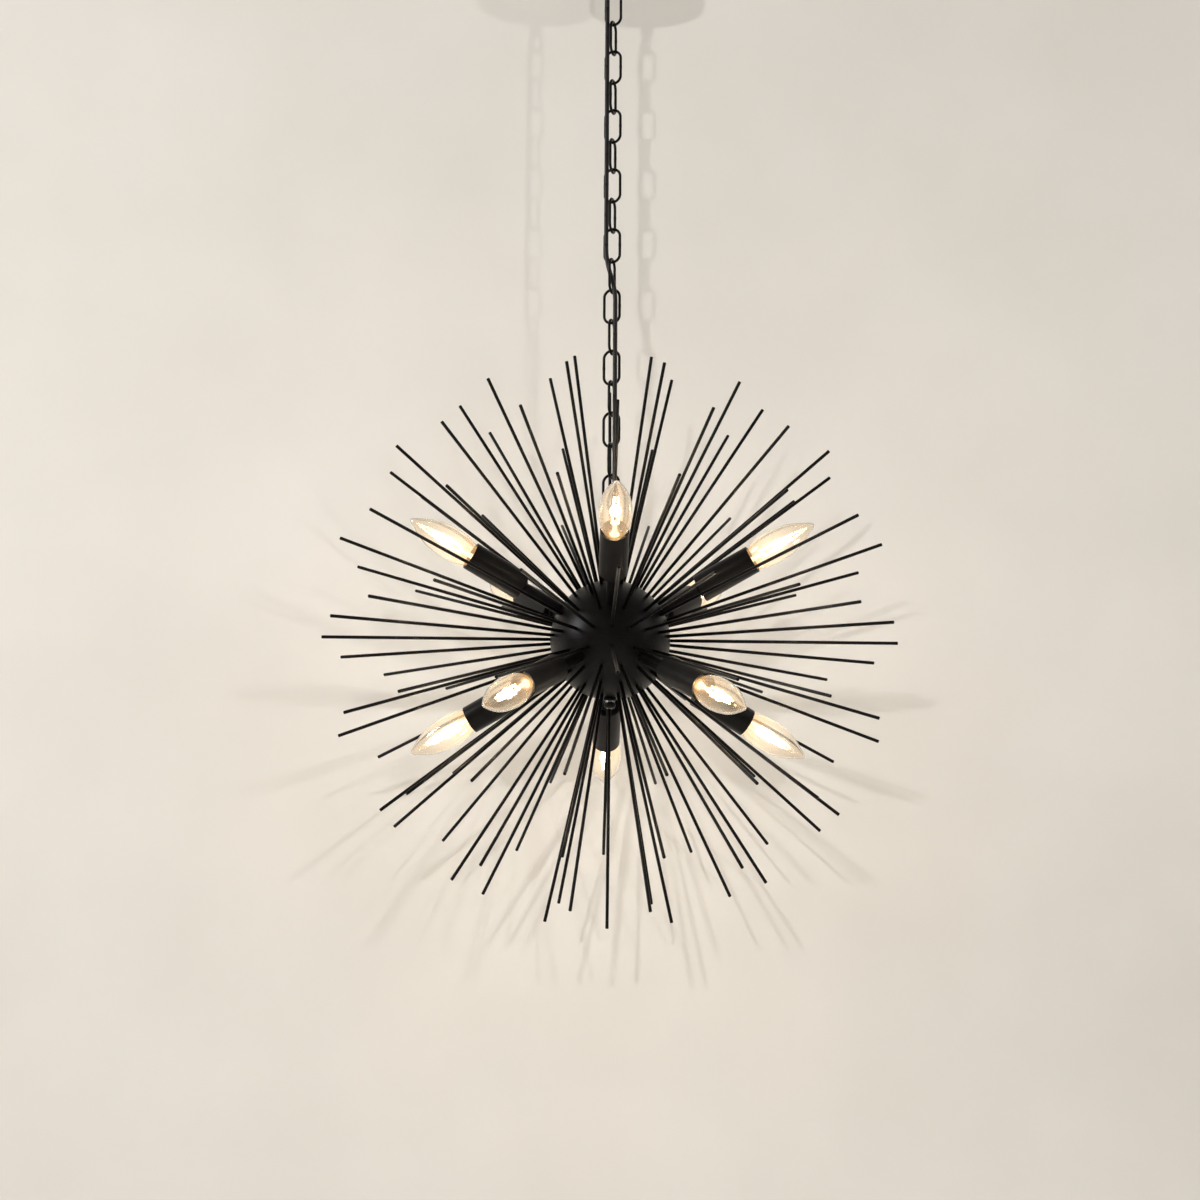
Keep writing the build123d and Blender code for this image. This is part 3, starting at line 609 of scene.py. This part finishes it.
for number, direction in enumerate(ARMS, 1):
    body, place, ending = f"bulb_{number:02d}", along(direction), f"{number:02d}"
    name = "bulb_candle_" + ending
    mesh = glass_mesh(name, place)
    mark_height(mesh, direction)
    candle = new_piece(name, mesh, body, "clear_glass", "bulb_glass_" + ending, finish=glass)
    candle.visible_shadow = False

    name = "bulb_cap_" + ending
    new_piece(name, cap_mesh(name, place), body, "nickel_brass", "bulb_base_" + ending, finish=nickel)

    name = "bulb_stem_" + ending
    new_piece(name, stem_mesh(name, place), body, "clear_glass", finish=stem_glass)

    name = "bulb_filament_" + ending
    mesh = filament_mesh(name, place)
    mark_height(mesh, direction)
    filament = new_piece(name, mesh, body, None, finish=filament_light)
    filament.visible_shadow = False


# ------------------------------------------------------------------ chain
WELD_REACH, WELD_HEIGHT = 1.8 * MM, 0.11  # along the wire, and as a share of its thickness
WIRE_STEP = 1.1 * MM


def link_tree():
    """One link: a circle of wire drawn out along Z, with the bead of its weld on one side."""
    tree, given = new_tree(
        "welded link", Height=float, Turn=float, Wire=float, Inner_Length=float, Inner_Width=float,
        Finish="NodeSocketMaterial",
    )

    def math(operation, a, b):
        return add(tree, "ShaderNodeMath", {"operation": operation}, _0=a, _1=b).outputs[0]

    bend = math("MULTIPLY", math("ADD", given.outputs["Inner Width"], given.outputs["Wire"]), 0.5)
    straight = math("SUBTRACT", given.outputs["Inner Length"], given.outputs["Inner Width"])
    half = math("MULTIPLY", straight, 0.5)
    circle = add(tree, "GeometryNodeCurvePrimitiveCircle", Resolution=64, Radius=bend)
    place = add(tree, "ShaderNodeSeparateXYZ", Vector=add(tree, "GeometryNodeInputPosition").outputs[0])
    side = math("SIGN", place.outputs["Y"], 0.0)
    up = math("ADD", place.outputs["Y"], math("MULTIPLY", side, half))
    drawn = add(tree, "ShaderNodeCombineXYZ", X=place.outputs["X"], Z=up)
    path = add(
        tree, "GeometryNodeSetPosition", Geometry=circle.outputs["Curve"], Position=drawn.outputs[0]
    )
    # the weld stands proud of the wire by a tenth, over some three millimetres of the straight side
    where = add(tree, "ShaderNodeSeparateXYZ", Vector=add(tree, "GeometryNodeInputPosition").outputs[0])
    near = math("DIVIDE", where.outputs["Z"], WELD_REACH)
    falling = math("MULTIPLY", math("MULTIPLY", near, near), -1.0)
    bead = math("MULTIPLY", math("EXPONENT", falling, 0.0), WELD_HEIGHT)
    right = math("GREATER_THAN", where.outputs["X"], 0.0)
    thick = math("ADD", 1.0, math("MULTIPLY", bead, right))
    finer = add(
        tree, "GeometryNodeResampleCurve", {"mode": "LENGTH"},
        Curve=path.outputs["Geometry"], Length=WIRE_STEP,
    )
    wire_radius = math("MULTIPLY", given.outputs["Wire"], 0.5)
    ring = add(tree, "GeometryNodeCurvePrimitiveCircle", Resolution=16, Radius=wire_radius)
    body = add(
        tree, "GeometryNodeCurveToMesh",
        Curve=finer.outputs["Curve"], Profile_Curve=ring.outputs["Curve"], Scale=thick,
    )
    spin = add(tree, "ShaderNodeCombineXYZ", Z=given.outputs["Turn"])
    lift = add(tree, "ShaderNodeCombineXYZ", Z=given.outputs["Height"])
    stood = add(
        tree, "GeometryNodeTransform",
        Geometry=body.outputs["Mesh"], Translation=lift.outputs[0], Rotation=spin.outputs[0],
    )
    end_tree(tree, stood.outputs["Geometry"], given.outputs["Finish"])
    return tree


def middle_of(node):
    low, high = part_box(node)
    return (low + high) / 2


LINK_TREE = link_tree()
for number in range(1, LINKS + 1):
    node = f"chain_link_{number:02d}"
    # every other link stands across its neighbours, and every third has its weld on the other side
    turn = CHAIN_TURN + (pi / 2 if number % 2 else 0.0) + (pi if number % 3 == 0 else 0.0)
    mesh = grown(
        f"wire_link_{number:02d}", LINK_TREE, bpy.data.meshes.new("empty"),
        Height=middle_of(node).z, Turn=turn, Wire=LINK_WIRE,
        Inner_Length=LINK_INNER_LENGTH, Inner_Width=LINK_INNER_WIDTH, Finish=link_coat,
    )
    new_piece(f"wire_link_{number:02d}", mesh, f"link_{number:02d}", "black_iron", node)


# ------------------------------------------------------------------ power cord
def beside_chain(side, across, z):
    """A point by its distances in millimetres from the chain's middle, in the chain's two planes."""
    x = side * cos(CHAIN_TURN) - across * sin(CHAIN_TURN)
    y = side * sin(CHAIN_TURN) + across * cos(CHAIN_TURN)
    return Vector((x * MM, y * MM, z))


CORD_FOOT, CORD_TOP, CORD_STEP = CENTRE.z - 2.5 * MM, 6 * MM, 2.5 * MM
NECK_TOP, LOOP_WIRE = 27 * MM, 3.6 * MM
ball_foot = CENTRE.z + BALL_RADIUS
canopy_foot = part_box("canopy_loop")[1].z
LOWER_EXIT = ball_foot + NECK_TOP - LOOP_WIRE / 2
UPPER_EXIT = canopy_foot - NECK_TOP + LOOP_WIRE / 2
CROSSING = middle_of("chain_link_09").z
EXIT_RISE, CROSSING_HALF = 14 * MM, 16 * MM
NEAR_EXIT, NEAR_CROSSING = 15.7 * MM, 33.8 * MM  # as far from a corner as the next one is
SIDE, ACROSS = 5.4, -4.6
ROUTE = [
    Vector((0, 0, CORD_FOOT)),
    Vector((0, 0, LOWER_EXIT - NEAR_EXIT)),
    Vector((0, 0, LOWER_EXIT)),
    beside_chain(SIDE, ACROSS, LOWER_EXIT + EXIT_RISE),
    beside_chain(SIDE, ACROSS, LOWER_EXIT + EXIT_RISE + NEAR_EXIT),
    beside_chain(SIDE, ACROSS, CROSSING - CROSSING_HALF - NEAR_CROSSING),
    beside_chain(SIDE, ACROSS, CROSSING - CROSSING_HALF),
    beside_chain(-SIDE, ACROSS, CROSSING + CROSSING_HALF),
    beside_chain(-SIDE, ACROSS, CROSSING + CROSSING_HALF + NEAR_CROSSING),
    beside_chain(-SIDE, ACROSS, UPPER_EXIT - EXIT_RISE - NEAR_EXIT),
    beside_chain(-SIDE, ACROSS, UPPER_EXIT - EXIT_RISE),
    Vector((0, 0, UPPER_EXIT)),
    Vector((0, 0, UPPER_EXIT + NEAR_EXIT)),
    Vector((0, 0, CORD_TOP)),
]


def smooth_line(points):
    """Where a NURBS line steered by the points runs."""
    curve = bpy.data.curves.new("cord_line", "CURVE")
    curve.dimensions = "3D"
    spline = curve.splines.new("NURBS")
    spline.points.add(len(points) - 1)
    for control, point in zip(spline.points, points):
        control.co = (*point, 1.0)
    spline.order_u = 3
    spline.use_endpoint_u = True
    curve.resolution_u = 24
    holder = bpy.data.objects.new("cord_line", curve)
    mesh = bpy.data.meshes.new_from_object(holder)
    line = np.array([v.co for v in mesh.vertices], float)
    bpy.data.objects.remove(holder)
    return line[np.argsort(line[:, 2])]


def tube(name, line, radius, sides=20):
    """A tube round a line of points, closed at both ends."""
    line = [Vector(p) for p in line]
    verts, faces, side = [], [], Vector((1, 0, 0))
    for i, point in enumerate(line):
        forward = (line[min(i + 1, len(line) - 1)] - line[max(i - 1, 0)]).normalized()
        side = (side - forward * side.dot(forward)).normalized()
        other = forward.cross(side)
        turns = [tau * s / sides for s in range(sides)]
        verts += [point + (side * cos(turn) + other * sin(turn)) * radius for turn in turns]
        if i:
            a, b = (i - 1) * sides, i * sides
            faces += [(a + s, a + (s + 1) % sides, b + (s + 1) % sides, b + s) for s in range(sides)]
    faces.append(tuple(reversed(range(sides))))
    faces.append(tuple(range((len(line) - 1) * sides, len(line) * sides)))
    mesh = bpy.data.meshes.new(name)
    mesh.from_pydata(verts, [], faces)
    return mesh


# The cord bends where the chain does: one length of it for each link, cut at the links' middles.
cord_line = smooth_line(ROUTE)
cuts = [middle_of(f"chain_link_{n:02d}").z for n in range(1, LINKS + 1)]
cuts = [CORD_FOOT] + cuts + [CORD_TOP]
for number, (low, high) in enumerate(zip(cuts, cuts[1:]), 1):
    heights = np.linspace(low, high, max(9, int((high - low) / CORD_STEP)))
    x, y = (np.interp(heights, cord_line[:, 2], cord_line[:, k]) for k in (0, 1))
    line = np.stack([x, y, heights], axis=1)
    name = f"cord_{number:02d}"
    piece = new_piece(name, tube(name, line, CORD_RADIUS), None, "black_pvc", finish=jacket)
    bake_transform(piece)
    if number == 1:
        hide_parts("power_cord")

# ------------------------------------------------------------------ camera
CAMERA_TURN, CAMERA_TILT, CAMERA_ROLL = -1.5, 13.36, 0.3  # degrees
CAMERA_DISTANCE, FOCAL_PIXELS, FRAME_PIXELS = 3.25, 3072.0, 1200.0
BALL_AT = (610.2, 640.1)  # where the ball's centre lies in the frame, in pixels
view = -outwards(-CAMERA_TILT, CAMERA_TURN)
level = Vector((cos(radians(CAMERA_TURN)), sin(radians(CAMERA_TURN)), 0))
roll = Matrix.Rotation(-radians(CAMERA_ROLL), 3, view)
right, up = roll @ level, roll @ level.cross(view)
aim = view * FOCAL_PIXELS + right * (FRAME_PIXELS / 2 - BALL_AT[0]) - up * (FRAME_PIXELS / 2 - BALL_AT[1])
aim.normalize()
across = aim.cross(up).normalized()
camera = bpy.data.objects.new("camera", bpy.data.cameras.new("camera"))
camera.data.sensor_width = 36.0
camera.data.lens = 36.0 * FOCAL_PIXELS / FRAME_PIXELS
facing = Matrix((across, across.cross(aim), -aim)).transposed().to_4x4()
camera.matrix_world = Matrix.Translation(CENTRE - view * CAMERA_DISTANCE) @ facing
bpy.context.scene.collection.objects.link(camera)
bpy.context.scene.camera = camera

# ------------------------------------------------------------------ room and light
WALL_AT, WALL_HALF, WALL_TOP, FLOOR_AT, FLOOR_EDGE, SWEEP = 0.43, 6.0, 2.2, -2.6, -6.0, 0.25


def wall_paint():
    """Matt emulsion on plaster, warm pale grey, with the soft ripple of the roller. A camera behind
    the wall sees through it to the chandelier."""
    material, tree = new_material("warm pale grey wall paint")
    cloud = grain(tree, 220 * MM, 4.0)
    paint = surface(
        tree, grain(tree, 12 * MM, 4.0), 0.4 * MM, 0.25,
        Base_Color=ramp(tree, cloud, (0.3, "#E0DBD3"), (0.75, "#E6E1DA")), Roughness=0.95,
    )
    behind = add(
        tree, "ShaderNodeMath", {"operation": "MULTIPLY"},
        _0=add(tree, "ShaderNodeNewGeometry").outputs["Backfacing"],
        _1=add(tree, "ShaderNodeLightPath").outputs["Is Camera Ray"],
    )
    clear = add(tree, "ShaderNodeBsdfTransparent")
    output = paint.outputs["BSDF"].links[0].to_socket
    mix = add(
        tree, "ShaderNodeMixShader",
        _0=behind.outputs[0], _1=paint.outputs["BSDF"], _2=clear.outputs["BSDF"],
    )
    tree.links.new(mix.outputs[0], output)
    return material


# the floor sweeps up into the wall
section = [(FLOOR_EDGE, FLOOR_AT)] + [
    (WALL_AT - SWEEP + SWEEP * sin(a), FLOOR_AT + SWEEP - SWEEP * cos(a))
    for a in np.linspace(0, pi / 2, 13)
] + [(WALL_AT, WALL_TOP)]
wall_mesh = bpy.data.meshes.new("backdrop")
wall_mesh.from_pydata(
    [(x, y, z) for y, z in section for x in (-WALL_HALF, WALL_HALF)], [],
    [(2 * i, 2 * i + 1, 2 * i + 3, 2 * i + 2) for i in range(len(section) - 1)],
)
new_piece("backdrop", wall_mesh, None, None, finish=wall_paint())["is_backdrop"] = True


def lamp(name, kind, place, power, size, colour, seen=True):
    """A lamp: a disk that faces the ball, or a small ball of light. A lamp that isn't seen casts
    light and leaves no reflection."""
    light = bpy.data.lights.new(name, kind)
    light.energy, light.color = power, srgb(colour)[:3]
    if kind == "AREA":
        light.shape, light.size = "DISK", size
    else:
        light.shadow_soft_size = size
    holder = bpy.data.objects.new(name, light)
    holder.visible_glossy = seen
    turn = (CENTRE - Vector(place)).to_track_quat("-Z", "Y").to_matrix().to_4x4()
    holder.matrix_world = Matrix.Translation(place) @ turn
    bpy.context.scene.collection.objects.link(holder)


# two wide soft lights wash the wall, and a window on each side lies along the ball's flanks
WASH = {"power": 19, "size": 2.4, "colour": "#FFFFFF", "seen": False}
lamp("wash_left", "AREA", (-2.0, -3.2, 0.3), **WASH)
lamp("wash_right", "AREA", (2.0, -3.2, 0.3), **WASH)
lamp("window_left", "AREA", (-2.6, -1.0, 0.2), 34, 1.0, "#FFFFFF")
lamp("window_right", "AREA", (2.6, -1.0, 0.2), 7, 1.4, "#FFFFFF")
# two small ones draw the faint double shadow of chain and rods
SPOT = {"size": 0.05, "colour": "#FFFFFF", "seen": False}
lamp("spot_left", "AREA", (-0.40, -3.2, -1.0), 26, **SPOT)
lamp("spot_right", "AREA", (0.64, -3.2, -1.0), 15, **SPOT)
# the warm light that a bulb throws on its cup and the rods near it
BULB_MIDDLE = 203 * MM
for number, direction in enumerate(ARMS, 1):
    place = CENTRE + direction * BULB_MIDDLE
    lamp(f"bulb_light_{number:02d}", "POINT", place, 0.05, 6 * MM, "#FFE6C4")

world = bpy.data.worlds.new("room")
bpy.context.scene.world = world
world.use_nodes = True
world.node_tree.nodes.clear()
# the room's dim light, which the camera sees as the pale grey of its far walls
seen = add(world.node_tree, "ShaderNodeLightPath").outputs["Is Camera Ray"]
air = add(
    world.node_tree, "ShaderNodeBackground",
    Color=srgb("#E6E1D8"), Strength=spread(world.node_tree, seen, 0.27, 1.0),
)
add(world.node_tree, "ShaderNodeOutputWorld", Surface=air.outputs["Background"])

bpy.context.scene.view_settings.view_transform = "Standard"

low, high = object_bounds()
